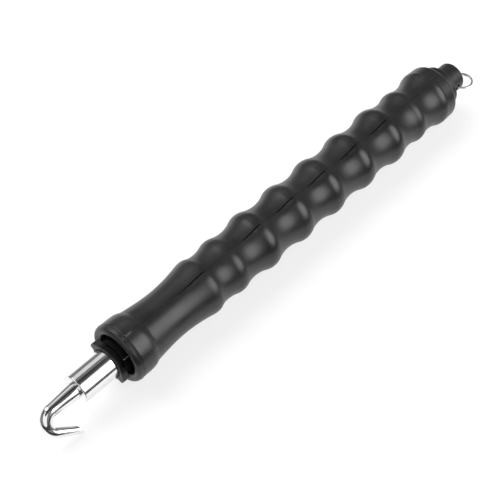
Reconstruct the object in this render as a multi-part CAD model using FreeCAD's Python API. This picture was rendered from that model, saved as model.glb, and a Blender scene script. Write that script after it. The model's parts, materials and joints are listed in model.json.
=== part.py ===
import FreeCAD, Part
import math
import os

V = FreeCAD.Vector

# Pull-type rebar tie wire twister, lying at rest on a level surface. Millimetres.
# The spindle axis lies along +X, hook at -X and hanging ring at +X. +Z is up.
# Stations S are measured along the axis from the mouth of the grip; X = S + X0.
X0 = -103.8          # puts the origin half way along the tool
ZC = 15.7            # height of the axis above the surface

# grip
LIP_R, MOUTH_R = 15.3, 11.0          # rounded lip, opening inside it
LIP_S = 1.2                          # station of the lip's widest circle
WAIST_S, WAIST_R = 31.0, 12.5
SHOULDER = ((6.2, LIP_R), (9.1, 14.9), (14.0, 13.87), (WAIST_S, WAIST_R))
FRONT_KNOTS = ((WAIST_S, WAIST_R), (52.8, 14.75), (60.3, 13.25), (69.9, 14.8))    # small beads
PITCH = 23.8                         # spacing of the five large beads
BEAD_S, BEAD_R, VALLEY_R = 91.4, 15.6, 13.2
REAR_KNOTS = ((206.4, 14.6), (214.4, 13.25), (225.6, ZC))    # small bead, valley, end bead
CREST_SHARE = 0.28                   # share of each flank taken by the crest's arc
END_S, END_R, END_FILLET = 233.4, 15.45, 1.8
SEAT_S0, SEAT_S1 = 12.0, 28.0        # threaded seat of the front bush
SEAT_R = 8.9
BORE_R = 8.4                         # spring chamber
CAP_BORE_R, CAP_BORE_S = 10.4, 222.0

# front bush and what it holds
BUSH_FRONT, FLANGE_T, WING_R = -6.3, 3.4, 11.3
FACE_ROLL = 29.8                     # the flange's plain side faces this far from the top, towards -Y
RAMP = ((SEAT_R, 46.0), (WING_R, 80.0))            # near side of a wing, degrees from FACE_ROLL
HEEL = ((WING_R, 100.0), (SEAT_R - 0.6, 108.0))    # its blunt far side
LOCK_R, LOCK_ROLL, LOCK_END = 0.5, 53.0, 18.0      # pin that locks the bush in the grip
SOCKET_R, SOCKET_S = 7.75, 4.5       # socket the sleeve nests in
WEB_R, WEB_S = 4.7, 7.0
CHAMBER_R = 7.0
WIPER_S1, WIPER_GAP = 10.0, 0.3
NUT_S1, KEY_R = 21.0, 1.0
CLIP_S1, CLIP_DEPTH, CLIP_INNER_R, CLIP_OPENING = 22.2, 0.8, 6.0, 4.0
SEAT_WASHER_T = 1.5

# twisted rod: right-hand helix, one turn in LEAD
LEAD = 35.0
ROD_AF, ROD_CORNER_R = 6.4, 4.1      # across flats, radius over the rounded corners
NUT_GAP = 0.08
TWIST_S0, TWIST_S1 = 3.5, 132.0
JOURNAL_R, TAIL_R = 4.1, 3.1
TAIL_END = 219.0
SLEEVE_PIN_R, SLEEVE_PIN_L = 1.5, 14.4
TAIL_PIN_S, TAIL_PIN_R, TAIL_PIN_L = 216.5, 1.0, 11.4

# sleeve and hook
SLEEVE_R, SLEEVE_S0, SLEEVE_S1, SLEEVE_EDGE = 7.45, -25.7, 3.0, 0.5
STEM_R, STEM_END = 4.2, -4.2
BEND_S, BEND_R = -40.0, 5.45         # centre of the bend, radius of its centre line
ARM_ANGLE, ARM_L = 33.0, 13.6
BEND_START_R, ARM_R0, TIP_R = 3.25, 2.65, 1.75
HOOK_DOWN = 55.3                     # hook plane, degrees below horizontal towards -Y
BEVELS = ((52.0, 0.55, 0.45), (-35.0, 0.35, 0.55))    # tilt, reach back, offset as a share of TIP_R

# tail stack
CUP_S0, CUP_S1, CUP_R, CUP_SPIGOT_R, CUP_RIM = 204.0, 212.0, 8.1, 5.2, 2.0
TAIL_SLIP = 0.35                     # gap between the tail and what slips over it
WASHER_S1, WASHER_R = 213.5, 6.2
NUT2_S0, NUT2_S1, NUT2_CORNER_R = 213.8, 219.5, 6.3
BUMPER_S0, BUMPER_S1, BUMPER_R = 220.0, 224.0, 6.5

# return spring
WIRE_R, SPRING_R, COILS, SPRING_GAP = 0.75, 6.3, 36, 0.3

# rear cap and ring
DISC_R, DISC_S1, DISC_EDGE = 11.7, 239.0, 0.8
BOSS_R, BOSS_S1, BOSS_EDGE = 7.9, 250.0, 1.0
BOSS_BORE_R, BOSS_BORE_S = 4.9, 241.0
HOLE_S, HOLE_R = 244.6, 1.7
RING_R, RING_WIRE_R = 5.45, 0.6


def pt(s, r):
    """A point of a half outline: station s, radius r."""
    return V(s + X0, 0, ZC + r)


def line(a, b):
    return Part.makeLine(pt(*a), pt(*b))


def poly(*pts):
    return [line(a, b) for a, b in zip(pts, pts[1:])]


def arc(a, m, b):
    return Part.Arc(pt(*a), pt(*m), pt(*b)).toShape()


def turned(edges):
    """A solid of revolution about the tool's axis from a closed half outline."""
    face = Part.Face(Part.Wire(edges))
    solid = face.revolve(V(0, 0, ZC), V(1, 0, 0), 360)
    return solid if solid.Volume > 0 else solid.reversed()


def rod(s0, s1, r):
    return Part.makeCylinder(r, s1 - s0, V(s0 + X0, 0, ZC), V(1, 0, 0))


def tube(s0, s1, r_out, r_in):
    return rod(s0, s1, r_out).cut(rod(s0 - 1, s1 + 1, r_in))


def rounded(s, r, edge):
    """A quarter-round edge that ends a cylinder of radius r at station s."""
    k = edge * (1 - math.sqrt(0.5))
    return arc((s - edge, r), (s - k, r - k), (s, r - edge))


def around(s, r, roll):
    """The point at station s and radius r, roll degrees from the top towards -Y."""
    a = math.radians(roll)
    return V(s + X0, -r * math.sin(a), ZC + r * math.cos(a))


def upright_pin(s, r, length):
    """A pin through the axis at station s."""
    return Part.makeCylinder(r, length, V(s + X0, 0, ZC - length / 2), V(0, 0, 1))


def sleeve_pin():
    return upright_pin(0, SLEEVE_PIN_R, SLEEVE_PIN_L)


def tail_pin():
    return upright_pin(TAIL_PIN_S, TAIL_PIN_R, TAIL_PIN_L)


def flank(a, b):
    """Two tangent arcs between a valley and a crest, level at both ends."""
    h, rise = b[0] - a[0], b[1] - a[1]
    turn = 2 * math.atan(abs(rise) / h)
    total = h / math.sin(turn)
    crest, valley = CREST_SHARE * total, (1 - CREST_SHARE) * total

    def on(centre_s, centre_r, radius, ang):
        return (centre_s + radius * math.sin(ang), centre_r + radius * math.cos(ang))

    if rise > 0:
        c = (b[0], b[1] - crest)
        v = (a[0], a[1] + valley)
        knee = on(c[0], c[1], crest, -turn)
        return [arc(a, on(v[0], v[1], valley, math.pi - turn / 2), knee),
                arc(knee, on(c[0], c[1], crest, -turn / 2), b)]
    c = (a[0], a[1] - crest)
    v = (b[0], b[1] + valley)
    knee = on(c[0], c[1], crest, turn)
    return [arc(a, on(c[0], c[1], crest, turn / 2), knee),
            arc(knee, on(v[0], v[1], valley, math.pi + turn / 2), b)]


def grip_outline():
    """Outer edges of the grip from the lip to the rear rim."""
    lip_mid = (LIP_S - (LIP_R - MOUTH_R) / 2, (LIP_R + MOUTH_R) / 2)
    edges = [arc((LIP_S, MOUTH_R), lip_mid, (LIP_S, LIP_R)), line((LIP_S, LIP_R), SHOULDER[0])]
    shoulder = Part.BSplineCurve()
    shoulder.interpolate(Points=[pt(*p) for p in SHOULDER],
                         InitialTangent=V(1, 0, 0), FinalTangent=V(1, 0, 0))
    edges.append(shoulder.toShape())
    knots = list(FRONT_KNOTS) + [(BEAD_S - PITCH / 2, VALLEY_R)]
    for i in range(5):
        knots.append((BEAD_S + i * PITCH, BEAD_R if i < 4 else ZC))
        knots.append((BEAD_S + (i + 0.5) * PITCH, VALLEY_R))
    knots += REAR_KNOTS
    for a, b in zip(knots, knots[1:]):
        edges += flank(a, b)
    edges.append(line(REAR_KNOTS[-1], (END_S - END_FILLET, END_R)))
    edges.append(rounded(END_S, END_R, END_FILLET))
    return edges


def grip():
    bore = poly((END_S, END_R - END_FILLET), (END_S, CAP_BORE_R), (CAP_BORE_S, CAP_BORE_R),
                (CAP_BORE_S, BORE_R), (SEAT_S1, BORE_R), (SEAT_S1, SEAT_R), (SEAT_S0, SEAT_R),
                (SEAT_S0, MOUTH_R), (LIP_S, MOUTH_R))
    return turned(grip_outline() + bore).cut(lock_pin())


def lock_pin():
    """A pin lying along the seat, sunk half in the bush and half in the grip."""
    start = BUSH_FRONT + FLANGE_T
    return Part.makeCylinder(LOCK_R, LOCK_END - start, around(start, SEAT_R, LOCK_ROLL), V(1, 0, 0))


def wing(side):
    """One wing of the bush's flange, on one side of its plain side."""
    def p(r, deg):
        return around(BUSH_FRONT, r, FACE_ROLL + side * deg)
    centre, ramp, heel = p(0, 0), [p(*a) for a in RAMP], [p(*a) for a in HEEL]
    edges = [Part.makeLine(centre, ramp[0]), Part.makeLine(*ramp),
             Part.Arc(ramp[1], p(WING_R, (RAMP[1][1] + HEEL[0][1]) / 2), heel[0]).toShape(),
             Part.makeLine(*heel), Part.makeLine(heel[1], centre)]
    return Part.Face(Part.Wire(edges)).extrude(V(FLANGE_T, 0, 0))


def front_bush():
    body = rod(BUSH_FRONT, SEAT_S1, SEAT_R).fuse(wing(1)).fuse(wing(-1)).removeSplitter()
    body = body.cut(rod(BUSH_FRONT - 1, SOCKET_S, SOCKET_R))
    body = body.cut(rod(SOCKET_S - 1, WEB_S + 1, WEB_R))
    body = body.cut(rod(WEB_S, SEAT_S1 + 1, CHAMBER_R))
    body = body.cut(tube(NUT_S1, CLIP_S1, CHAMBER_R + CLIP_DEPTH, CLIP_INNER_R))
    return body.cut(nut_key()).cut(lock_pin())


def twisted_square(s0, s1, gap=0.0):
    """A square bar with rounded corners, twisted about the axis, one turn in LEAD."""
    half = ROD_AF / 2 + gap
    bar = Part.makeBox(2 * half, 2 * half, 1, V(-half, -half, 0))
    outline = bar.common(Part.makeCylinder(ROD_CORNER_R + gap, 1)).Faces
    base = [f for f in outline if abs(f.CenterOfMass.z) < 1e-6 and abs(f.normalAt(0, 0).z) > 0.9][0]
    profile = base.OuterWire
    start = math.degrees(2 * math.pi * s0 / LEAD)
    profile.rotate(V(0, 0, 0), V(0, 0, 1), start)
    spine = Part.Wire([Part.makeLine(V(0, 0, 0), V(0, 0, s1 - s0))])
    guide = Part.Wire(Part.makeHelix(LEAD, s1 - s0, 10).Edges)
    sweep = Part.BRepOffsetAPI.MakePipeShell(spine)
    sweep.setAuxiliarySpine(guide, True, 0)
    sweep.add(profile, False, False)
    sweep.build()
    sweep.makeSolid()
    solid = sweep.shape()
    # local Z becomes the tool's +X, local X becomes -Z: a rotation, so the hand is kept
    solid.rotate(V(0, 0, 0), V(0, 1, 0), 90)
    solid.translate(V(s0 + X0, 0, ZC))
    return solid


def twisted_rod():
    body = twisted_square(TWIST_S0, TWIST_S1)
    body = body.fuse(rod(STEM_END, TWIST_S0, JOURNAL_R)).fuse(rod(TWIST_S1, TAIL_END, TAIL_R))
    return body.cut(sleeve_pin()).cut(tail_pin())


def nut_key():
    """Two pins sunk half in the drive nut and half in the bush keep the nut from turning."""
    pins = [Part.makeCylinder(KEY_R, NUT_S1 - WIPER_S1, V(WIPER_S1 + X0, y, ZC), V(1, 0, 0))
            for y in (-CHAMBER_R, CHAMBER_R)]
    return pins[0].fuse(pins[1])


def drive_nut():
    body = rod(WIPER_S1, NUT_S1, CHAMBER_R).cut(twisted_square(WIPER_S1 - 0.5, NUT_S1 + 0.5, NUT_GAP))
    return body.cut(nut_key())


def nut_circlip():
    ring = tube(NUT_S1, CLIP_S1, CHAMBER_R + CLIP_DEPTH, CLIP_INNER_R)
    return ring.cut(Part.makeBox(CLIP_OPENING, CLIP_OPENING, 2 * CHAMBER_R,
                                 V(NUT_S1 - 1 + X0, -CLIP_OPENING / 2, ZC)))


def sleeve():
    c = SLEEVE_EDGE
    edges = poly((SLEEVE_S0, STEM_R), (SLEEVE_S0, SLEEVE_R - c), (SLEEVE_S0 + c, SLEEVE_R),
                 (SLEEVE_S1 - c, SLEEVE_R), (SLEEVE_S1, SLEEVE_R - c), (SLEEVE_S1, JOURNAL_R),
                 (STEM_END, JOURNAL_R), (STEM_END, STEM_R), (SLEEVE_S0, STEM_R))
    return turned(edges).cut(sleeve_pin())


def hook():
    """Round rod tapering along a stem, a tight bend and a straight arm with a bevelled point."""
    down, lean = math.radians(HOOK_DOWN), math.radians(ARM_ANGLE)
    out = V(0, -math.cos(down), -math.sin(down))       # the way the bend leads off the axis

    def place(s, r):
        return V(s + X0, 0, ZC) + out * r

    def on_bend(deg):
        t = math.radians(deg)
        return place(BEND_S - BEND_R * math.sin(t), BEND_R - BEND_R * math.cos(t))

    start, bend, knee = place(SLEEVE_S0, 0), place(BEND_S, 0), on_bend(180 - ARM_ANGLE)
    along = V(math.cos(lean), 0, 0) + out * math.sin(lean)
    side = V(-math.sin(lean), 0, 0) + out * math.cos(lean)      # square to the arm, outwards
    end = knee + along * ARM_L
    bow = Part.Arc(bend, on_bend(90 - ARM_ANGLE / 2), knee).toShape()
    spine = Part.Wire([Part.makeLine(start, bend), bow, Part.makeLine(knee, end)])
    sweep = Part.BRepOffsetAPI.MakePipeShell(spine)
    for centre, normal, radius in ((start, V(-1, 0, 0), STEM_R), (bend, V(-1, 0, 0), BEND_START_R),
                                   (knee, along, ARM_R0), (end, along, TIP_R)):
        sweep.add(Part.Wire(Part.Circle(centre, normal, radius).toShape()), False, False)
    sweep.build()
    sweep.makeSolid()
    body = sweep.shape().fuse(rod(SLEEVE_S0, STEM_END, STEM_R))
    # two bevels bring the end to a point on its outer side
    for tilt, reach, offset in BEVELS:
        b = math.radians(tilt)
        base = end - along * reach + side * (TIP_R * offset)
        cutter = Part.makeCylinder(2.5 * TIP_R, 2 * TIP_R, base, along * math.cos(b) - side * math.sin(b))
        body = body.cut(cutter)
    return body


def tail_cup():
    """Spring cup that rides along the chamber with the rod but doesn't turn."""
    bore, step = TAIL_R + TAIL_SLIP, CUP_S1 - CUP_RIM
    return turned(poly((CUP_S0, bore), (CUP_S0, CUP_SPIGOT_R), (step, CUP_SPIGOT_R), (step, CUP_R),
                       (CUP_S1, CUP_R), (CUP_S1, bore), (CUP_S0, bore)))


def tail_nut():
    corners = [around(NUT2_S0, NUT2_CORNER_R, 60 * i) for i in range(7)]
    body = Part.Face(Part.makePolygon(corners)).extrude(V(NUT2_S1 - NUT2_S0, 0, 0))
    return body.cut(rod(NUT2_S0 - 1, NUT2_S1 + 1, TAIL_R)).cut(tail_pin())


def return_spring():
    s0, s1 = SEAT_S1 + SEAT_WASHER_T, CUP_S1 - CUP_RIM - SPRING_GAP
    height = s1 - s0 - 2 * WIRE_R
    spine = Part.Wire(Part.makeHelix(height / COILS, height, SPRING_R).Edges)
    circle = Part.Wire(Part.makeCircle(WIRE_R, V(SPRING_R, 0, 0), V(0, 1, 0)))
    body = spine.makePipeShell([circle], True, True)
    body.rotate(V(0, 0, 0), V(0, 1, 0), 90)
    body.translate(V(s0 + WIRE_R + X0, 0, ZC))
    return body


def rear_cap():
    edges = poly((CAP_BORE_S, BUMPER_R), (CAP_BORE_S, CAP_BORE_R), (END_S, CAP_BORE_R), (END_S, DISC_R),
                 (DISC_S1 - DISC_EDGE, DISC_R))
    edges.append(rounded(DISC_S1, DISC_R, DISC_EDGE))
    edges += poly((DISC_S1, DISC_R - DISC_EDGE), (DISC_S1, BOSS_R), (BOSS_S1 - BOSS_EDGE, BOSS_R))
    edges.append(rounded(BOSS_S1, BOSS_R, BOSS_EDGE))
    edges += poly((BOSS_S1, BOSS_R - BOSS_EDGE), (BOSS_S1, BOSS_BORE_R), (BOSS_BORE_S, BOSS_BORE_R),
                  (BOSS_BORE_S, 0), (BUMPER_S1, 0), (BUMPER_S1, BUMPER_R), (CAP_BORE_S, BUMPER_R))
    hole = Part.makeCylinder(HOLE_R, BOSS_R + 1, V(HOLE_S + X0, 0, ZC), V(0, -1, 0))
    return turned(edges).cut(hole)


def split_ring():
    """Hanging ring through the boss's side hole and round its rear edge."""
    centre = V(HOLE_S + RING_R + X0, -(BOSS_R + BOSS_BORE_R) / 2, ZC)
    return Part.makeTorus(RING_R, RING_WIRE_R, centre, V(0, 0, 1))


def felt_wiper():
    return tube(WEB_S, WIPER_S1, CHAMBER_R, ROD_CORNER_R + WIPER_GAP)


def spring_seat():
    return tube(SEAT_S1, SEAT_S1 + SEAT_WASHER_T, BORE_R, WEB_R)


def bumper():
    return rod(BUMPER_S0, BUMPER_S1, BUMPER_R)


def thrust_washer():
    return tube(CUP_S1, WASHER_S1, WASHER_R, TAIL_R + TAIL_SLIP)


PIECES = (grip, front_bush, lock_pin, felt_wiper, drive_nut, nut_key, nut_circlip, spring_seat,
          return_spring, rear_cap, bumper, tail_cup, thrust_washer, tail_nut, tail_pin, twisted_rod,
          sleeve, sleeve_pin, hook, split_ring)

os.makedirs("parts", exist_ok=True)
for piece in PIECES:
    shape = piece()
    shape.exportStep("parts/%s.step" % piece.__name__)
    print("%-14s solids %d valid %s volume %.1f" % (
        piece.__name__, len(shape.Solids), shape.isValid(), shape.Volume))
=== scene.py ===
import json
import math

import bmesh
import bpy
from mathutils import Matrix, Vector


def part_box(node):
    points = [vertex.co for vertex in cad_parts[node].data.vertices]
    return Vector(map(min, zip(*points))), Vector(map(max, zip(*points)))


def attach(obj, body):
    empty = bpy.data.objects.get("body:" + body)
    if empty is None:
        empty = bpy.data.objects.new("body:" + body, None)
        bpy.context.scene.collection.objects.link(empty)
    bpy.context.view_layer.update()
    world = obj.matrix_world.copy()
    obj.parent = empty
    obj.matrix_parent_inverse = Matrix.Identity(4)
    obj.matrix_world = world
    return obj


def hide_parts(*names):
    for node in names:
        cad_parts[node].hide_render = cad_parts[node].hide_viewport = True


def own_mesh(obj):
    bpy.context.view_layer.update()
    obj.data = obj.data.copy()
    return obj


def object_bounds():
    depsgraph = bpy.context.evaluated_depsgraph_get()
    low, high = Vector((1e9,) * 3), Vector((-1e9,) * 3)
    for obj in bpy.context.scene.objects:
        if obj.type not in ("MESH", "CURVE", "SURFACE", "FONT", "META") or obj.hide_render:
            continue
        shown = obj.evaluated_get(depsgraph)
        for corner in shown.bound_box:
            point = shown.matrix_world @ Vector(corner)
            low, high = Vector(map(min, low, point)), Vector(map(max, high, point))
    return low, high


# Looks for a pull-type rebar tie wire twister. Sizes below are millimetres along and about the
# tool's axis: a station s from the grip's mouth, a radius r, and a roll in degrees from the top
# towards -Y. place() turns them into frame metres.

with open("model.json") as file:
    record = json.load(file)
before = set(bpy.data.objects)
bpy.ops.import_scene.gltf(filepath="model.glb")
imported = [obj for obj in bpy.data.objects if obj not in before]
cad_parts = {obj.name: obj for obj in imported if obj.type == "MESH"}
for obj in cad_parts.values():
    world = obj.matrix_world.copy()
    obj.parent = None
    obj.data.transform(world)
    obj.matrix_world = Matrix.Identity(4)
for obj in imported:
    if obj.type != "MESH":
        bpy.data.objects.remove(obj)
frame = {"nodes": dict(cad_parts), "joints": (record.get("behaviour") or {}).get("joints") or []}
cad_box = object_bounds()
joints = {j["name"]: j for j in frame["joints"]}

MM = 0.001
GRIP_LENGTH = 233.4
MOUTH_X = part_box("grip")[1].x - GRIP_LENGTH * MM
AXIS_Z = joints["spindle_turn"]["pos_m"][2]
FLOOR_Z = cad_box[0].z

# grip
LIP_R, MOUTH_R, LIP_S = 15.3, 11.0, 1.2
FIRST_CREST_S, WAIST = 52.8, (31.0, 12.5)
SHOULDER = ((6.2, 15.3), (9.6, 15.15), (11.2, 14.8), (14.0, 13.87), WAIST)
PITCH, BEAD_S, BEAD_R, VALLEY_R, END_BEAD_R = 23.8, 91.4, 15.6, 13.2, 15.7
CREST_SHARE, FIRST_CREST_SHARE = 0.28, 0.13    # share of a flank taken by the crest's arc
SEAT_R, SEAT_S0, SEAT_S1 = 8.9, 12.0, 28.0
BORE_R = 8.4
SEAM_ROLLS = (12.9, 192.9)

# front bush
BUSH_FRONT, FLANGE_T, WING_R, FACE_ROLL = -6.3, 3.4, 11.3, 29.8
WING_ROLLS = (46, 80, 100, 108)    # ramp foot and top, heel top and foot, degrees from FACE_ROLL
SOCKET_R, SOCKET_S, WEB_R, WEB_S, CHAMBER_R = 7.75, 4.5, 4.7, 7.0, 7.0
LOCK_ROLL, LOCK_R, LOCK_L = 53.0, 0.15, 20.4

# spindle
SLEEVE_R, SLEEVE_S0, SLEEVE_S1 = 7.45, -25.7, 3.0
STEM_R, STEM_END = 4.2, -4.2
BEND_S, BEND_R, ARM_ANGLE, ARM_L = -40.0, 5.45, 33.0, 13.6
BEND_START_R, ARM_R0, TIP_R = 3.25, 2.65, 1.75
HOOK_DOWN = 55.3     # the hook's plane, degrees below horizontal towards -Y
BEVELS = ((52, 0.55, 0.45), (-35, 0.35, 0.55))    # tilt, reach back, offset as a share of TIP_R
ROD_LEAD, ROD_HALF, ROD_CORNER_R = 35.0, 3.2, 4.1
JOURNAL_R, TAIL_R, TAIL_END = 4.1, 3.1, 219.0
TWIST_S0, TWIST_S1 = 3.5, 132.0

# rear end
END_R, CAP_BORE_R, CAP_BORE_S = 15.45, 10.5, 222.0
PLUG_R, PLUG_BORE_R = 10.38, 6.5
DISC_R, DISC_S1 = 11.7, 239.0
BOSS_R, BOSS_S1, BOSS_BORE_R, BOSS_BORE_S = 7.9, 250.0, 4.9, 241.0
HOLE_S, HOLE_R = 244.6, 1.7
RING_R = 5.45

# return spring, between the washer in the bush end and the cup on the rod's tail
SPRING_S0, SPRING_S1, SPRING_R, WIRE_R, COILS = 29.5, 209.7, 6.3, 0.75, 36


# ------------------------------------------------------------------ geometry helpers

def place(s, r=0.0, roll=0.0):
    """The point of the frame at a station, radius and roll."""
    a = math.radians(roll)
    return Vector((MOUTH_X + s * MM, -r * math.sin(a) * MM, AXIS_Z + r * math.cos(a) * MM))


def new_object(name, mesh, smooth_angle=35.0):
    """A shaded object from a bmesh, with edges sharper than smooth_angle kept crisp."""
    bmesh.ops.recalc_face_normals(mesh, faces=mesh.faces)
    data = bpy.data.meshes.new(name)
    mesh.to_mesh(data)
    mesh.free()
    data.polygons.foreach_set("use_smooth", [True] * len(data.polygons))
    data.set_sharp_from_angle(angle=math.radians(smooth_angle))
    obj = bpy.data.objects.new(name, data)
    bpy.context.scene.collection.objects.link(obj)
    return obj


def skin(mesh, rings, close=False):
    """Quads between rings of points, each ring closed on itself."""
    rows = [[mesh.verts.new(p) for p in ring] for ring in rings]
    pairs = list(zip(rows, rows[1:]))
    if close:
        pairs.append((rows[-1], rows[0]))
    for one, two in pairs:
        for i in range(len(one)):
            k = (i + 1) % len(one)
            mesh.faces.new((one[i], one[k], two[k], two[i]))
    return rows


def capped(mesh, rings):
    """A skin with a face over each end."""
    rows = skin(mesh, rings)
    mesh.faces.new(rows[0])
    mesh.faces.new(rows[-1])


def arc_points(centre, radius, start, end, steps):
    """Points (s, r) on an arc; angles in degrees from +r towards +s."""
    points = []
    for i in range(steps + 1):
        a = math.radians(start + (end - start) * i / steps)
        points.append((centre[0] + radius * math.sin(a), centre[1] + radius * math.cos(a)))
    return points


def rounded(corners, steps=4):
    """An outline through (s, r, fillet) corners, each fillet a tangent arc. The ends stay as they are."""
    points = []
    for i, (s, r, fillet) in enumerate(corners):
        if not fillet or i in (0, len(corners) - 1):
            points.append((s, r))
            continue
        p = Vector((s, r))
        u = (Vector(corners[i - 1][:2]) - p).normalized()
        v = (Vector(corners[i + 1][:2]) - p).normalized()
        half = u.angle(v) / 2
        centre = p + (u + v).normalized() * (fillet / math.sin(half))
        a = p + u * (fillet / math.tan(half)) - centre
        b = p + v * (fillet / math.tan(half)) - centre
        for k in range(steps + 1):
            d = a.slerp(b, k / steps).normalized() * fillet
            points.append(tuple(centre + d))
    return points


def supported(points, gap=0.14):
    """Adds a point near both ends of every long straight run, which keeps flat faces flat in the light."""
    out = [points[0]]
    for a, b in zip(points, points[1:]):
        a, b = Vector(a), Vector(b)
        if (b - a).length > 4 * gap:
            step = (b - a).normalized() * gap
            out += [tuple(a + step), tuple(b - step)]
        out.append(tuple(b))
    return out


def rolls(count, extra=()):
    """Roll angles for a turned piece: count even ones and the extra ones."""
    merged = sorted({round(i * 360 / count, 3) for i in range(count)} | {round(e % 360, 3) for e in extra})
    return [a for i, a in enumerate(merged) if i == 0 or a - merged[i - 1] > 0.05]


def turned(name, outline, angles, shape=None, closed=True, smooth_angle=35.0):
    """A piece turned about the tool's axis. shape(s, r, roll) gives the radius where it isn't round."""
    mesh = bmesh.new()
    rings = []
    for s, r in supported(outline):
        rings.append([place(s, shape(s, r, a) if shape else r, a) for a in angles])
    skin(mesh, rings, closed)
    bmesh.ops.remove_doubles(mesh, verts=mesh.verts, dist=1e-7)
    return new_object(name, mesh, smooth_angle)


def smoothstep(x):
    """Smooth rise from 0 to 1, flat outside."""
    x = min(1.0, max(0.0, x))
    return x * x * (3 - 2 * x)


def near(angle, centre):
    """Signed degrees from centre to angle, in -180..180."""
    return (angle - centre + 180) % 360 - 180


# ------------------------------------------------------------------ grip

def shoulder(s):
    """Radius on the smooth fall from the collar to the waist."""
    knots = SHOULDER
    inner = [(b[1] - a[1]) / (b[0] - a[0]) for a, b in zip(knots, knots[2:])]
    slopes = [0.0, *inner, 0.0]
    i = next(k for k in range(len(knots) - 1) if s <= knots[k + 1][0] + 1e-6)
    (s0, r0), (s1, r1) = knots[i], knots[i + 1]
    h = s1 - s0
    t = (s - s0) / h
    return ((2 * t ** 3 - 3 * t ** 2 + 1) * r0 + (t ** 3 - 2 * t ** 2 + t) * h * slopes[i]
            + (3 * t ** 2 - 2 * t ** 3) * r1 + (t ** 3 - t ** 2) * h * slopes[i + 1])


def flank(a, b, steps=6, share=CREST_SHARE):
    """Two tangent arcs between a valley and a crest, level at both ends."""
    h, rise = b[0] - a[0], b[1] - a[1]
    turn = math.degrees(2 * math.atan(abs(rise) / h))
    total = h / math.sin(math.radians(turn))
    crest, valley = share * total, (1 - share) * total
    if rise > 0:
        low = arc_points((a[0], a[1] + valley), valley, 180, 180 - turn, steps)
        return low[1:] + arc_points((b[0], b[1] - crest), crest, -turn, 0, steps)[1:]
    high = arc_points((a[0], a[1] - crest), crest, 0, turn, steps)
    return high[1:] + arc_points((b[0], b[1] + valley), valley, 180 + turn, 180, steps)[1:]


def grip_outline():
    """Lip, collar, shoulder, beads and rear face, then the bore back to the mouth."""
    lip = (LIP_R - MOUTH_R) / 2
    points = arc_points((LIP_S, MOUTH_R + lip), lip, -180, 0, 16)
    points += [(s, LIP_R) for s in (1.5, 1.7, 1.85, 2.0, 2.2, 2.4, 2.6, 3.2, 4.4, 5.4)]
    start, run = SHOULDER[0][0], 24.8
    points += [(s, shoulder(s)) for s in (start + run * (i / 26) ** 1.15 for i in range(27))]
    knots = [WAIST, (FIRST_CREST_S, 14.75), (60.3, 13.25), (69.9, 14.8), (BEAD_S - PITCH / 2, VALLEY_R)]
    for i in range(5):
        knots.append((BEAD_S + i * PITCH, BEAD_R if i < 4 else END_BEAD_R))
        knots.append((BEAD_S + (i + 0.5) * PITCH, VALLEY_R))
    knots += [(206.4, 14.6), (214.4, 13.25), (225.6, END_BEAD_R)]
    for a, b in zip(knots, knots[1:]):
        share = FIRST_CREST_SHARE if b[0] == FIRST_CREST_S else CREST_SHARE
        points += flank(a, b, 10 if b[0] - a[0] > 15 else 6, share)
    points += rounded([(226.4, END_BEAD_R - 0.12, 0), (231.6, END_R, 0), (GRIP_LENGTH, END_R, 1.8),
                       (GRIP_LENGTH, CAP_BORE_R, 0)], 8)
    points += [(CAP_BORE_S, CAP_BORE_R), (CAP_BORE_S, BORE_R), (SEAT_S1, BORE_R), (SEAT_S1, SEAT_R),
               (SEAT_S0, SEAT_R), (SEAT_S0, MOUTH_R)]
    return points


def seam_marks(s):
    """How marked the parting line is at a station: its flats, most on each bead's hook side, and its slit."""
    flats = 0.15
    for crest in (FIRST_CREST_S, *(BEAD_S + i * PITCH for i in range(5))):
        flats = max(flats, smoothstep((s - (crest - 13)) / 4) * (1 - smoothstep((s - (crest - 1.5)) / 2.5)))
    slit = flats if s > 60 else smoothstep((s - 33) / 6) * (1 - smoothstep((s - 52) / 3))
    return flats, slit


def make_grip():
    """The moulded grip: a parting line along both sides, and the core's witness ring round the lip."""
    def shape(s, r, roll):
        if r < 11.2 or s > GRIP_LENGTH - 1.7:
            return r
        lift = 0.2 * math.exp(-((s - 1.85) / 0.2) ** 2) - 0.2 * math.exp(-((s - 2.4) / 0.22) ** 2)
        flats, slit = seam_marks(s)
        collar = 1 - smoothstep((s - 6) / 1.5)
        for seam in SEAM_ROLLS:
            d = math.radians(near(roll, seam)) * r * (1 if seam < 90 else -1)
            if abs(d) > 6:
                continue
            if 0.04 < d < 0.52:
                lift -= 0.45 * max(slit, 0.15) * (1 - collar)
            ridge, groove = math.exp(-((d - 0.05) / 0.2) ** 2), math.exp(-((d - 0.85) / 0.26) ** 2)
            lift += collar * (0.12 * ridge - 0.16 * groove)
            if 0 < d < 4.5:
                lift -= flats * 0.62 * (1 - d / 4.5) ** 2
            elif -4.0 < d <= 0:
                lift += flats * 0.09 * (1 + d / 4.0) ** 2
        return r + lift

    offsets = (-17, -14, -11, -8, -6, -4.5, -3.0, -2.2, -1.6, -1.1, -0.7, -0.4, 0, 0.1, 0.3, 0.7, 1.1, 1.5,
               1.85, 1.95, 2.3, 2.8, 3.2, 3.6, 4.2, 5, 6, 8, 10, 12, 13.5, 15)
    extra = [seam + (o if seam < 90 else -o) for seam in SEAM_ROLLS for o in offsets]
    return turned("grip_moulding", grip_outline(), rolls(144, extra), shape)


# ------------------------------------------------------------------ front bush and lock pin

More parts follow.
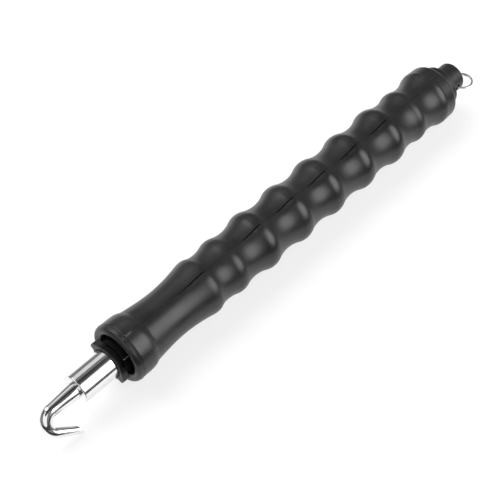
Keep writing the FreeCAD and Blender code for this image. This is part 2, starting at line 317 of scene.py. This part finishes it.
def wing_outline(roll):
    """How far the wings stand past the bush's barrel at this roll."""
    def at(r, deg):
        return Vector((r * math.cos(math.radians(deg)), r * math.sin(math.radians(deg))))

    def edge(p0, p1, deg):
        ray, along = at(1, deg), p1 - p0
        return (p0.x * along.y - p0.y * along.x) / (ray.x * along.y - ray.y * along.x)

    foot, top, heel_top, heel = WING_ROLLS
    deg = abs(near(roll, FACE_ROLL))
    if foot < deg <= top:
        return edge(at(SEAT_R, foot), at(WING_R, top), deg) - SEAT_R
    if top < deg <= heel_top:
        return WING_R - SEAT_R
    if heel_top < deg < heel:
        return max(0.0, edge(at(WING_R, heel_top), at(SEAT_R - 0.6, heel), deg) - SEAT_R)
    return 0.0


def make_front_bush():
    """Winged collar and barrel, hollow for the sleeve in front and for the nut behind its web."""
    edge, mouth = 0.35, 0.3
    rear = BUSH_FRONT + FLANGE_T
    barrel = rounded([(BUSH_FRONT, SOCKET_R, 0), (BUSH_FRONT, SEAT_R, edge), (rear, SEAT_R, edge),
                      (rear, SEAT_R - 0.02, 0)], 4)
    rest = [(rear + 0.1, SEAT_R), (SEAT_S0, SEAT_R), (SEAT_S1, SEAT_R), (SEAT_S1, CHAMBER_R),
            (WEB_S, CHAMBER_R), (WEB_S, WEB_R), (SOCKET_S, WEB_R), (SOCKET_S, SOCKET_R)]
    rest += arc_points((BUSH_FRONT + mouth, SOCKET_R + mouth), mouth, 180, 270, 3)

    def shape(s, r, roll):
        if r < 8.0 or s > rear + 0.01:
            return r
        blurred = sum(wing_outline(roll + k * 0.8) for k in (-2, -1, 0, 1, 2)) / 5
        # between the wings the rim is undercut towards the grip
        undercut = 1 - smoothstep((abs(near(roll, FACE_ROLL)) - 44) / 5)
        return r + blurred - undercut * 1.1 * max(0.0, s - BUSH_FRONT - edge) / FLANGE_T

    corners = [FACE_ROLL + side * (deg + o) for side in (-1, 1) for deg in (46, 80, 100, 104, 108)
               for o in (-2.4, -1.6, -0.8, 0, 0.8, 1.6, 2.4)]
    return turned("front_bush_moulding", barrel[1:] + rest, rolls(120, corners), shape)


def make_lock_pin():
    """Half-sunk pin along the bush's barrel, with rounded ends."""
    start = BUSH_FRONT + FLANGE_T + 0.5
    end, front = start + LOCK_L, start + 0.02
    profile = rounded([(front, 0, 0), (front, LOCK_R, 0.15), (end, LOCK_R, 0.15), (end, 0, 0)], 3)
    mesh = bmesh.new()
    angles = [math.radians(i * 15) for i in range(24)]
    skin(mesh, [[place(s, SEAT_R - 0.05, LOCK_ROLL) + Vector((0, r * math.cos(a), r * math.sin(a))) * MM
                 for a in angles] for s, r in profile])
    bmesh.ops.remove_doubles(mesh, verts=mesh.verts, dist=1e-7)
    return new_object("lock_pin_steel", mesh)


# ------------------------------------------------------------------ spindle

def make_sleeve():
    """Plated tube with broken edges, bored for the hook's stem in front and the rod's journal behind."""
    outline = rounded([(SLEEVE_S0, STEM_R, 0), (SLEEVE_S0, SLEEVE_R, 0.55), (SLEEVE_S1, SLEEVE_R, 0.5),
                       (SLEEVE_S1, JOURNAL_R, 0)], 5)
    outline += [(STEM_END, JOURNAL_R), (STEM_END, STEM_R)]
    return turned("sleeve_plated", outline, rolls(128))


def make_hook():
    """Tapered round bar: stem, tight bend and straight arm, bevelled to a point."""
    down, lean = math.radians(HOOK_DOWN), math.radians(ARM_ANGLE)
    out = Vector((0, -math.cos(down), -math.sin(down)))
    forward = Vector((-1, 0, 0))
    square = forward.cross(out)
    axis = [(place(s), forward, STEM_R) for s in (STEM_END, -15.0, SLEEVE_S0)]
    for i in range(1, 13):
        share = i / 12
        r = STEM_R + (BEND_START_R - STEM_R) * (smoothstep(share) + share) / 2
        axis.append((place(SLEEVE_S0 + (BEND_S - SLEEVE_S0) * share), forward, r))
    steps = 40
    for i in range(1, steps + 1):
        t = math.radians((180 - ARM_ANGLE) * i / steps)
        centre = place(BEND_S) + (forward * math.sin(t) + out * (1 - math.cos(t))) * BEND_R * MM
        direction = forward * math.cos(t) + out * math.sin(t)
        axis.append((centre, direction, BEND_START_R + (ARM_R0 - BEND_START_R) * i / steps))
    knee, along = axis[-1][0], axis[-1][1]
    side = (out * math.cos(lean) - Vector((1, 0, 0)) * math.sin(lean))
    for i in range(1, 13):
        axis.append((knee + along * ARM_L * MM * i / 12, along, ARM_R0 + (TIP_R - ARM_R0) * i / 12))
    mesh = bmesh.new()
    count = 64
    rings = []
    for centre, direction, r in axis:
        across = square.cross(direction)
        rings.append([centre + (across * math.cos(a) + square * math.sin(a)) * r * MM
                      for a in (2 * math.pi * k / count for k in range(count))])
    capped(mesh, rings)
    end = axis[-1][0]
    for tilt, reach, offset in BEVELS:
        b = math.radians(tilt)
        normal = along * math.cos(b) - side * math.sin(b)
        base = end - along * reach * MM + side * (TIP_R * offset * MM)
        # the plane would also meet the stem, so only the arm's end is cut
        close = {v for v in mesh.verts if (v.co - end).length < 9 * MM}
        geom = (list(close) + [e for e in mesh.edges if close.issuperset(e.verts)]
                + [f for f in mesh.faces if close.issuperset(f.verts)])
        cut = bmesh.ops.bisect_plane(mesh, geom=geom, plane_co=base, plane_no=normal, clear_outer=True)
        rim = [e for e in cut["geom_cut"] if isinstance(e, bmesh.types.BMEdge)]
        bmesh.ops.edgeloop_fill(mesh, edges=rim)
    bmesh.ops.remove_doubles(mesh, verts=mesh.verts, dist=2e-6)
    obj = new_object("hook_plated", mesh, 30)
    bevel = obj.modifiers.new("ground_edges", "BEVEL")
    bevel.width, bevel.segments, bevel.angle_limit = 0.12 * MM, 2, math.radians(30)
    return obj


def make_twisted_rod():
    """Square bar with rounded corners, twisted right-handed, between plain journals."""
    def section(roll):
        a = math.radians((roll + 45) % 90 - 45)
        return min(ROD_CORNER_R, ROD_HALF / math.cos(a))

    angles = [360 * k / 96 for k in range(96)]

    def ring(s, radii, turned_at):
        return [place(s, r, a - 360 * turned_at / ROD_LEAD) for a, r in zip(angles, radii)]

    # the journal and the tail turn with the twist's ends, so that the rows stay lined up
    rings = [ring(s, [JOURNAL_R] * 96, TWIST_S0) for s in (STEM_END, 3.0, 3.49)]
    steps = 320
    for i in range(steps + 1):
        s = TWIST_S0 + (TWIST_S1 - TWIST_S0) * i / steps
        run_in = smoothstep((s - TWIST_S0) / 2)
        rings.append(ring(s, [JOURNAL_R + (section(a) - JOURNAL_R) * run_in for a in angles], s))
    for s, r in ((TWIST_S1 + 0.3, TAIL_R), (TAIL_END - 0.4, TAIL_R), (TAIL_END, TAIL_R - 0.4)):
        rings.append(ring(s, [r] * 96, TWIST_S1))
    mesh = bmesh.new()
    capped(mesh, rings)
    return new_object("twisted_rod_steel", mesh, 28)


# ------------------------------------------------------------------ rear cap, ring, spring

def make_rear_cap():
    """Plug, disc and hollow boss with a hole in its side. A thin gap parts the disc from the grip."""
    gap_s0, gap_s1, gap_r = 233.6, 234.15, 10.9
    outline = rounded([(CAP_BORE_S, PLUG_BORE_R, 0), (CAP_BORE_S, PLUG_R, 0.3), (gap_s0, PLUG_R, 0),
                       (gap_s0, gap_r, 0), (gap_s1, gap_r, 0), (gap_s1, DISC_R, 0.25), (DISC_S1, DISC_R, 0.8),
                       (DISC_S1, BOSS_R, 0.5), (BOSS_S1, BOSS_R, 1.0), (BOSS_S1, BOSS_BORE_R, 0.4),
                       (BOSS_BORE_S, BOSS_BORE_R, 0.3), (BOSS_BORE_S, 0, 0)], 5)
    outline += [(224.0, 0), (224.0, PLUG_BORE_R)]
    cap = turned("rear_cap_moulding", outline, rolls(96))
    cutter_mesh = bmesh.new()
    angles = [2 * math.pi * k / 40 for k in range(40)]
    capped(cutter_mesh, [[place(HOLE_S) + Vector((HOLE_R * math.cos(a), y, HOLE_R * math.sin(a))) * MM
                          for a in angles] for y in (0, -BOSS_R - 2)])
    cutter = new_object("hole_cutter", cutter_mesh)
    cut = cap.modifiers.new("side_hole", "BOOLEAN")
    cut.operation, cut.solver, cut.object = "DIFFERENCE", "EXACT", cutter
    bpy.context.view_layer.update()
    made = bpy.data.meshes.new_from_object(cap.evaluated_get(bpy.context.evaluated_depsgraph_get()))
    cap.modifiers.clear()
    cap.data = made
    bpy.data.objects.remove(cutter)
    made.polygons.foreach_set("use_smooth", [True] * len(made.polygons))
    made.set_sharp_from_angle(angle=math.radians(35))
    return cap


def make_split_ring():
    """Two coils of flattened wire, one on the other, the ends meeting across a small step."""
    centre = Vector((MOUTH_X + (HOLE_S + RING_R) * MM, -(BOSS_R + BOSS_BORE_R) / 2 * MM, AXIS_Z))
    half_h, half_w, lap = 0.27, 0.5, 0.3
    section = [(half_w * math.copysign(abs(math.cos(a)) ** 0.55, math.cos(a)),
                half_h * math.copysign(abs(math.sin(a)) ** 0.55, math.sin(a)))
               for a in (2 * math.pi * k / 20 for k in range(20))]
    mesh = bmesh.new()
    turns, steps = 2, 192
    rings = []
    for i in range(steps + 1):
        a = 2 * math.pi * turns * i / steps + math.radians(70)
        share = i / steps
        level = lap * (smoothstep((share - 0.5) / 0.12 + 0.5) * 2 - 1)
        outward = Vector((math.cos(a), math.sin(a), 0))
        rings.append([centre + (outward * (RING_R + x) + Vector((0, 0, level + z))) * MM for x, z in section])
    capped(mesh, rings)
    return new_object("split_ring_coils", mesh, 40)


def make_spring():
    """Round-wire coil between its two seats."""
    mesh = bmesh.new()
    steps = COILS * 28
    run = SPRING_S1 - SPRING_S0 - 2 * WIRE_R
    closed = 1.2 / COILS    # share of the wire in each closed end coil
    rings = []
    for i in range(steps + 1):
        share = i / steps
        if share < closed:
            along = WIRE_R * 2 * share / closed
        elif share > 1 - closed:
            along = run - WIRE_R * 2 * (1 - share) / closed
        else:
            along = WIRE_R * 2 + (run - WIRE_R * 4) * (share - closed) / (1 - 2 * closed)
        s = SPRING_S0 + WIRE_R + along
        rings.append([place(s + WIRE_R * math.sin(b), SPRING_R + WIRE_R * math.cos(b), 360 * COILS * share)
                      for b in (2 * math.pi * k / 10 for k in range(10))])
    capped(mesh, rings)
    return new_object("return_spring_coil", mesh, 60)


# ------------------------------------------------------------------ materials

def material(name, **values):
    """A node material. Values are set on the shader's own sockets; an underscore stands for a space."""
    mat = bpy.data.materials.new(name)
    mat.use_nodes = True
    shader = mat.node_tree.nodes["Principled BSDF"]
    for socket, value in values.items():
        shader.inputs[socket.replace("_", " ")].default_value = value
    return mat


def add(mat, kind, **inputs):
    """A node, with its inputs set from values or linked from other nodes' outputs."""
    node = mat.node_tree.nodes.new(kind)
    for socket, value in inputs.items():
        feed(mat, node, socket.replace("_", " "), value)
    return node


def feed(mat, node, socket, value):
    """Links an output to a socket, or sets a plain value on it."""
    if isinstance(value, bpy.types.NodeSocket):
        mat.node_tree.links.new(value, node.inputs[socket])
    else:
        node.inputs[socket].default_value = value


def noise(mat, scale, detail=3.0, stretch=(1, 1, 1)):
    """Noise in frame metres, scale in cells per metre."""
    where = add(mat, "ShaderNodeTexCoord").outputs["Object"]
    mapped = add(mat, "ShaderNodeMapping", Vector=where, Scale=stretch).outputs["Vector"]
    return add(mat, "ShaderNodeTexNoise", Vector=mapped, Scale=scale, Detail=detail).outputs["Fac"]


def spread(mat, value, low, high, to_low, to_high):
    """value stretched from low..high to to_low..to_high, and held there."""
    node = add(mat, "ShaderNodeMapRange", Value=value)
    for socket, number in (("From Min", low), ("From Max", high), ("To Min", to_low), ("To Max", to_high)):
        node.inputs[socket].default_value = number
    return node.outputs["Result"]


def blend_colour(mat, share, one, two):
    """Colour one where share is 0, two where it is 1."""
    node = add(mat, "ShaderNodeMix")
    node.data_type = "RGBA"
    sockets = {s.identifier: s for s in node.inputs}
    mat.node_tree.links.new(share, sockets["Factor_Float"])
    sockets["A_Color"].default_value = (*one, 1)
    sockets["B_Color"].default_value = (*two, 1)
    return next(o for o in node.outputs if o.identifier == "Result_Color")


def sum_of(mat, *parts):
    """Weighted sum of (value, weight) parts."""
    total = None
    for value, weight in parts:
        node = add(mat, "ShaderNodeMath")
        node.operation = "MULTIPLY_ADD"
        mat.node_tree.links.new(value, node.inputs[0])
        node.inputs[1].default_value = weight
        if total is None:
            node.inputs[2].default_value = 0.0
        else:
            mat.node_tree.links.new(total, node.inputs[2])
        total = node.outputs[0]
    return total


def radius_mask(mat, low_r, high_r):
    """0 at low_r millimetres from the tool's axis, 1 at high_r."""
    where = add(mat, "ShaderNodeTexCoord").outputs["Object"]
    split = add(mat, "ShaderNodeSeparateXYZ", Vector=where)
    lift = add(mat, "ShaderNodeMath")
    lift.operation = "SUBTRACT"
    mat.node_tree.links.new(split.outputs["Z"], lift.inputs[0])
    lift.inputs[1].default_value = AXIS_Z
    flat = add(mat, "ShaderNodeCombineXYZ", Y=split.outputs["Y"], Z=lift.outputs[0])
    length = add(mat, "ShaderNodeVectorMath")
    length.operation = "LENGTH"
    mat.node_tree.links.new(flat.outputs["Vector"], length.inputs[0])
    return spread(mat, length.outputs["Value"], low_r * MM, high_r * MM, 0, 1)


def finish_surface(mat, colour, roughness, height, strength, distance):
    """Feeds the colour, the roughness and a bump of this height to the shader."""
    shader = mat.node_tree.nodes["Principled BSDF"]
    feed(mat, shader, "Base Color", colour)
    feed(mat, shader, "Roughness", roughness)
    bump = add(mat, "ShaderNodeBump", Height=height, Strength=strength, Distance=distance)
    feed(mat, shader, "Normal", bump.outputs["Normal"])
    return mat


def along_axis(mat):
    """Millimetres behind the grip's mouth."""
    where = add(mat, "ShaderNodeTexCoord").outputs["Object"]
    split = add(mat, "ShaderNodeSeparateXYZ", Vector=where)
    return spread(mat, split.outputs["X"], MOUTH_X - 50 * MM, MOUTH_X + 50 * MM, -50, 50)


def moulded_plastic(name, dark, light, rough_low, rough_high, handled=False, recess_painted_dark=False):
    """Satin moulded plastic with a spark-eroded grain and soft cloudy variation.

    handled polishes the crests. With the recess flag set, the reflection is turned down everywhere but the
    outer rim and the front face: painted shade that keeps the barrel and the recess behind the front face
    dark.
    """
    mat = material(name, Specular_IOR_Level=0.5)
    clouds = noise(mat, 90, 4)
    grain = noise(mat, 5200, 2)
    ripple = noise(mat, 420, 2, (0.35, 1, 1))
    colour = blend_colour(mat, spread(mat, clouds, 0.35, 0.65, 0, 1), dark, light)
    rough = sum_of(mat, (spread(mat, clouds, 0.3, 0.7, rough_low, rough_high), 1.0))
    if handled:
        rough = sum_of(mat, (rough, 1.0), (radius_mask(mat, 14.2, 15.6), -0.05))
    height = sum_of(mat, (grain, 0.6), (ripple, 0.7))
    if recess_painted_dark:
        # painted shade: the reflection is turned down on the barrel and in the recess, so that only the outer
        # rim and the front face stay glossy
        shine = add(mat, "ShaderNodeMath")
        shine.operation = "MAXIMUM"
        mat.node_tree.links.new(radius_mask(mat, 9.0, 9.8), shine.inputs[0])
        mat.node_tree.links.new(spread(mat, along_axis(mat), BUSH_FRONT + 0.15, BUSH_FRONT + 0.6, 1, 0.12),
                                shine.inputs[1])
        shader = mat.node_tree.nodes["Principled BSDF"]
        feed(mat, shader, "Specular IOR Level", spread(mat, shine.outputs[0], 0, 1, 0, 0.5))
    return finish_surface(mat, colour, rough, height, 0.22, 0.00006)


def plated(name, tint, rough_low, rough_high, turned_lines=False):
    """Bright nickel plate over turned or drawn steel: faint lines, smears and pinpoint pits."""
    mat = material(name, Metallic=1.0)
    smears = noise(mat, 160, 5)
    lines = noise(mat, 2600, 3, (1, 0.04, 0.04) if turned_lines else (0.08, 1, 1))
    darker = tuple(c * 0.93 for c in tint)
    colour = blend_colour(mat, spread(mat, smears, 0.35, 0.7, 0, 1), tint, darker)
    rough = sum_of(mat, (spread(mat, smears, 0.3, 0.75, rough_low, rough_high), 1.0), (lines, 0.03))
    pits = noise(mat, 1700, 3)
    height = sum_of(mat, (lines, 0.6), (smears, 0.4), (pits, 0.8))
    return finish_surface(mat, colour, rough, height, 0.1, 0.00005)


def worked_steel(name, one, two, rough_low, rough_high, stretch=(1, 1, 1)):
    """Zinc-plated or drawn steel with stains and tool marks."""
    mat = material(name, Metallic=1.0)
    stains = noise(mat, 220, 5)
    marks = noise(mat, 3000, 3, stretch)
    colour = blend_colour(mat, spread(mat, stains, 0.35, 0.7, 0, 1), one, two)
    rough = sum_of(mat, (spread(mat, stains, 0.3, 0.7, rough_low, rough_high), 1.0), (marks, 0.08))
    return finish_surface(mat, colour, rough, marks, 0.12, 0.00006)


def felt_material():
    mat = material("felt_grey", Sheen_Weight=0.4, Sheen_Roughness=0.5)
    fibres = noise(mat, 2400, 6, (1, 0.5, 2))
    colour = blend_colour(mat, fibres, (0.20, 0.19, 0.17), (0.36, 0.34, 0.31))
    return finish_surface(mat, colour, spread(mat, fibres, 0, 1, 0.85, 1.0), fibres, 0.6, 0.0002)


def rubber_material():
    mat = material("rubber_matt")
    mottle = noise(mat, 1500, 4)
    colour = blend_colour(mat, mottle, (0.02, 0.02, 0.02), (0.045, 0.045, 0.045))
    return finish_surface(mat, colour, spread(mat, mottle, 0, 1, 0.65, 0.85), mottle, 0.3, 0.0001)


GRIP_PLASTIC = moulded_plastic("grip_plastic", (0.009, 0.009, 0.0092), (0.014, 0.014, 0.0142), 0.33, 0.41,
                               handled=True)
BUSH_PLASTIC = moulded_plastic("bush_plastic", (0.005, 0.005, 0.0051), (0.009, 0.009, 0.0091), 0.38, 0.48,
                               recess_painted_dark=True)
CAP_PLASTIC = moulded_plastic("cap_plastic", (0.008, 0.008, 0.0082), (0.012, 0.012, 0.0122), 0.34, 0.42)
SLEEVE_PLATE = plated("sleeve_plate", (0.90, 0.90, 0.905), 0.09, 0.15, True)
HOOK_PLATE = plated("hook_plate", (0.89, 0.89, 0.895), 0.06, 0.11)
RING_PLATE = plated("ring_plate", (0.92, 0.92, 0.92), 0.22, 0.34)
ROD_STEEL = worked_steel("rod_steel", (0.62, 0.62, 0.63), (0.50, 0.49, 0.48), 0.18, 0.30, (0.05, 1, 1))
ZINC = worked_steel("zinc_steel", (0.58, 0.58, 0.60), (0.44, 0.44, 0.45), 0.28, 0.42)
SPRING_STEEL = worked_steel("spring_steel", (0.46, 0.46, 0.47), (0.30, 0.29, 0.28), 0.25, 0.4)
BRIGHT_PIN = worked_steel("bright_pin", (0.85, 0.85, 0.85), (0.75, 0.75, 0.75), 0.28, 0.36)
FELT = felt_material()
RUBBER = rubber_material()


# ------------------------------------------------------------------ pieces on their bodies

def fit(obj, mat, body, slot, *nodes):
    """Gives a new piece its material and body, and hides the CAD nodes it stands for. slot is not used."""
    obj.data.materials.clear()
    obj.data.materials.append(mat)
    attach(obj, body)
    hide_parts(*nodes)
    return obj


fit(make_grip(), GRIP_PLASTIC, "handle", "grip_plastic", "grip")
fit(make_front_bush(), BUSH_PLASTIC, "handle", "bush_plastic", "front_bush")
fit(make_lock_pin(), BRIGHT_PIN, "handle", "steel", "lock_pin")
fit(make_rear_cap(), CAP_PLASTIC, "handle", "cap_plastic", "rear_cap")
fit(make_sleeve(), SLEEVE_PLATE, "spindle", "bright_plate", "sleeve")
fit(make_hook(), HOOK_PLATE, "spindle", "bright_plate", "hook")
fit(make_twisted_rod(), ROD_STEEL, "spindle", "rod_steel", "twisted_rod")
fit(make_split_ring(), RING_PLATE, "ring", "ring_plate", "split_ring")

spring = fit(make_spring(), SPRING_STEEL, "handle", "steel", "return_spring")
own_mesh(spring)

for node, mat in (("felt_wiper", FELT), ("bumper", RUBBER), ("drive_nut", ZINC), ("nut_key", ZINC),
                  ("nut_circlip", SPRING_STEEL), ("spring_seat", ZINC), ("tail_cup", ZINC),
                  ("thrust_washer", ZINC), ("tail_nut", ZINC), ("tail_pin", ZINC), ("sleeve_pin", ZINC)):
    data = frame["nodes"][node].data
    data.materials.clear()
    data.materials.append(mat)


# ------------------------------------------------------------------ studio

def glow(name, strength, inner=None):
    """Plain emission; with inner given it fades smoothly from that share of the panel to its rim."""
    mat = bpy.data.materials.new(name)
    mat.use_nodes = True
    tree = mat.node_tree
    tree.nodes.remove(tree.nodes["Principled BSDF"])
    shader = tree.nodes.new("ShaderNodeEmission")
    shader.inputs["Strength"].default_value = strength
    tree.links.new(shader.outputs[0], tree.nodes["Material Output"].inputs["Surface"])
    if inner is not None:
        where = add(mat, "ShaderNodeTexCoord").outputs["Object"]
        length = add(mat, "ShaderNodeVectorMath")
        length.operation = "LENGTH"
        tree.links.new(where, length.inputs[0])
        fade = spread(mat, length.outputs["Value"], inner, 1.0, strength, 0.0)
        fade.node.interpolation_type = "SMOOTHSTEP"
        tree.links.new(fade, shader.inputs["Strength"])
    return mat


def panel(name, size, mat, centre, facing):
    """A flat rectangle of the studio, centred at a point and facing another, its long way along X."""
    mesh = bmesh.new()
    mesh.faces.new([mesh.verts.new(p) for p in ((-1, -1, 0), (1, -1, 0), (1, 1, 0), (-1, 1, 0))])
    data = bpy.data.meshes.new(name)
    mesh.to_mesh(data)
    mesh.free()
    data.materials.append(mat)
    obj = bpy.data.objects.new(name, data)
    bpy.context.scene.collection.objects.link(obj)
    obj.location = centre
    away = (Vector(facing) - Vector(centre)).normalized()
    side = (Vector((1, 0, 0)) - away * away.x).normalized()
    obj.rotation_mode = "QUATERNION"
    obj.rotation_quaternion = Matrix((side, away.cross(side), away)).transposed().to_quaternion()
    obj.scale = (size[0] / 2, size[1] / 2, 1)
    return obj


def floor_material():
    """White sweep: part of its light is its own, so that shadows on it stay faint."""
    mat = material("pale_floor", Roughness=0.9, Specular_IOR_Level=0.0)
    shader = mat.node_tree.nodes["Principled BSDF"]
    shader.inputs["Base Color"].default_value = (0.25, 0.25, 0.25, 1)
    shader.inputs["Emission Color"].default_value = (1, 1, 1, 1)
    shader.inputs["Emission Strength"].default_value = 0.74
    return mat


def direction(roll, ahead):
    """Unit vector at a roll about the tool's axis, its X part given by ahead."""
    across = math.sqrt(1 - ahead * ahead)
    a = math.radians(roll)
    return Vector((ahead, -math.sin(a) * across, math.cos(a) * across))


def light(name, roll, ahead, distance, size, strength, inner=None, seen_by=("diffuse", "glossy")):
    """A glowing panel that faces the tool's middle and is out of the camera's sight."""
    centre = middle + direction(roll, ahead) * distance
    obj = panel(name, size, glow(name, strength, inner), centre, middle)
    obj.visible_camera = obj.visible_shadow = obj.visible_transmission = obj.visible_volume_scatter = False
    obj.visible_diffuse, obj.visible_glossy = "diffuse" in seen_by, "glossy" in seen_by
    return obj


middle = Vector((0, 0, AXIS_Z))
panel("floor", (6, 6), floor_material(), (0, 0, FLOOR_Z - 0.0001), (0, 0, 1))
light("softbox", 55, 0.40, 1.0, (0.98, 1.25), 4.3, 0.6)
light("back_light", -40, -0.22, 1.0, (0.32, 1.1), 6.5, 0.25)
light("back_wall", -42, 0.1, 1.4, (2.6, 1.2), 0.75, 0.4)
light("front_card", 20, -0.70, 1.1, (1.15, 2.3), 1.05, 0.8, ("glossy",))
# dark strips seen only in reflections: one low strip standing towards -X and -Y, and three lying flat on the
# white floor, beside the tool, ahead of it and by the hook, which paint dark reflections of a floor that is
# white
for name, size, centre, facing in (
        ("low_dark_strip", (1.5, 0.16), (-0.55, -0.42, 0.085), (-0.1, 0, 0.02)),
        ("painted_dark_floor_reflection_side", (1.6, 0.83), (0.1, -0.485, FLOOR_Z + 0.0004), (0.1, -0.485, 1)),
        ("painted_dark_floor_reflection_front", (0.7, 1.0), (-0.56, 0.43, FLOOR_Z + 0.0004), (-0.56, 0.43, 1)),
        ("painted_dark_floor_reflection_hook", (0.11, 0.055), (-0.19, -0.05, FLOOR_Z + 0.0006), (-0.19, -0.05, 1))):
    strip = panel(name, size, glow(name, 0.05), centre, facing)
    strip.visible_camera = strip.visible_diffuse = strip.visible_shadow = strip.visible_transmission = False
light("overhead_card", 4, -0.2, 0.8, (0.85, 0.42), 0.04, None, ("glossy",))
light("fill", -40, 0.0, 1.6, (1.8, 1.4), 5.5, None, ("diffuse",))

# dim surroundings for the light, a white background where the camera looks past the floor
world = bpy.data.worlds.new("studio")
bpy.context.scene.world = world
world.use_nodes = True
tree = world.node_tree
background = tree.nodes["Background"]
background.inputs["Color"].default_value = (0.24, 0.24, 0.24, 1)
seen = tree.nodes.new("ShaderNodeBackground")
seen.inputs["Color"].default_value = (1, 1, 1, 1)
seen.inputs["Strength"].default_value = 1.05
path = tree.nodes.new("ShaderNodeLightPath")
choose = tree.nodes.new("ShaderNodeMixShader")
tree.links.new(path.outputs["Is Camera Ray"], choose.inputs["Fac"])
tree.links.new(background.outputs[0], choose.inputs[1])
tree.links.new(seen.outputs[0], choose.inputs[2])
tree.links.new(choose.outputs[0], tree.nodes["World Output"].inputs["Surface"])

CAMERA_AZIMUTH, CAMERA_ELEVATION = math.radians(-47.58), math.radians(49.95)
camera_data = bpy.data.cameras.new("camera")
camera_data.lens, camera_data.sensor_width = 95.59, 36.0
camera = bpy.data.objects.new("camera", camera_data)
bpy.context.scene.collection.objects.link(camera)
camera.location = place(0) + Vector((-216.7, -278.85, 487.45)) * MM
back = Vector((math.sin(CAMERA_AZIMUTH) * math.cos(CAMERA_ELEVATION),
               -math.cos(CAMERA_AZIMUTH) * math.cos(CAMERA_ELEVATION), math.sin(CAMERA_ELEVATION)))
camera.rotation_mode = "QUATERNION"
camera.rotation_quaternion = (-back).to_track_quat("-Z", "Y")
bpy.context.scene.camera = camera
bpy.context.scene.view_settings.view_transform = "Standard"
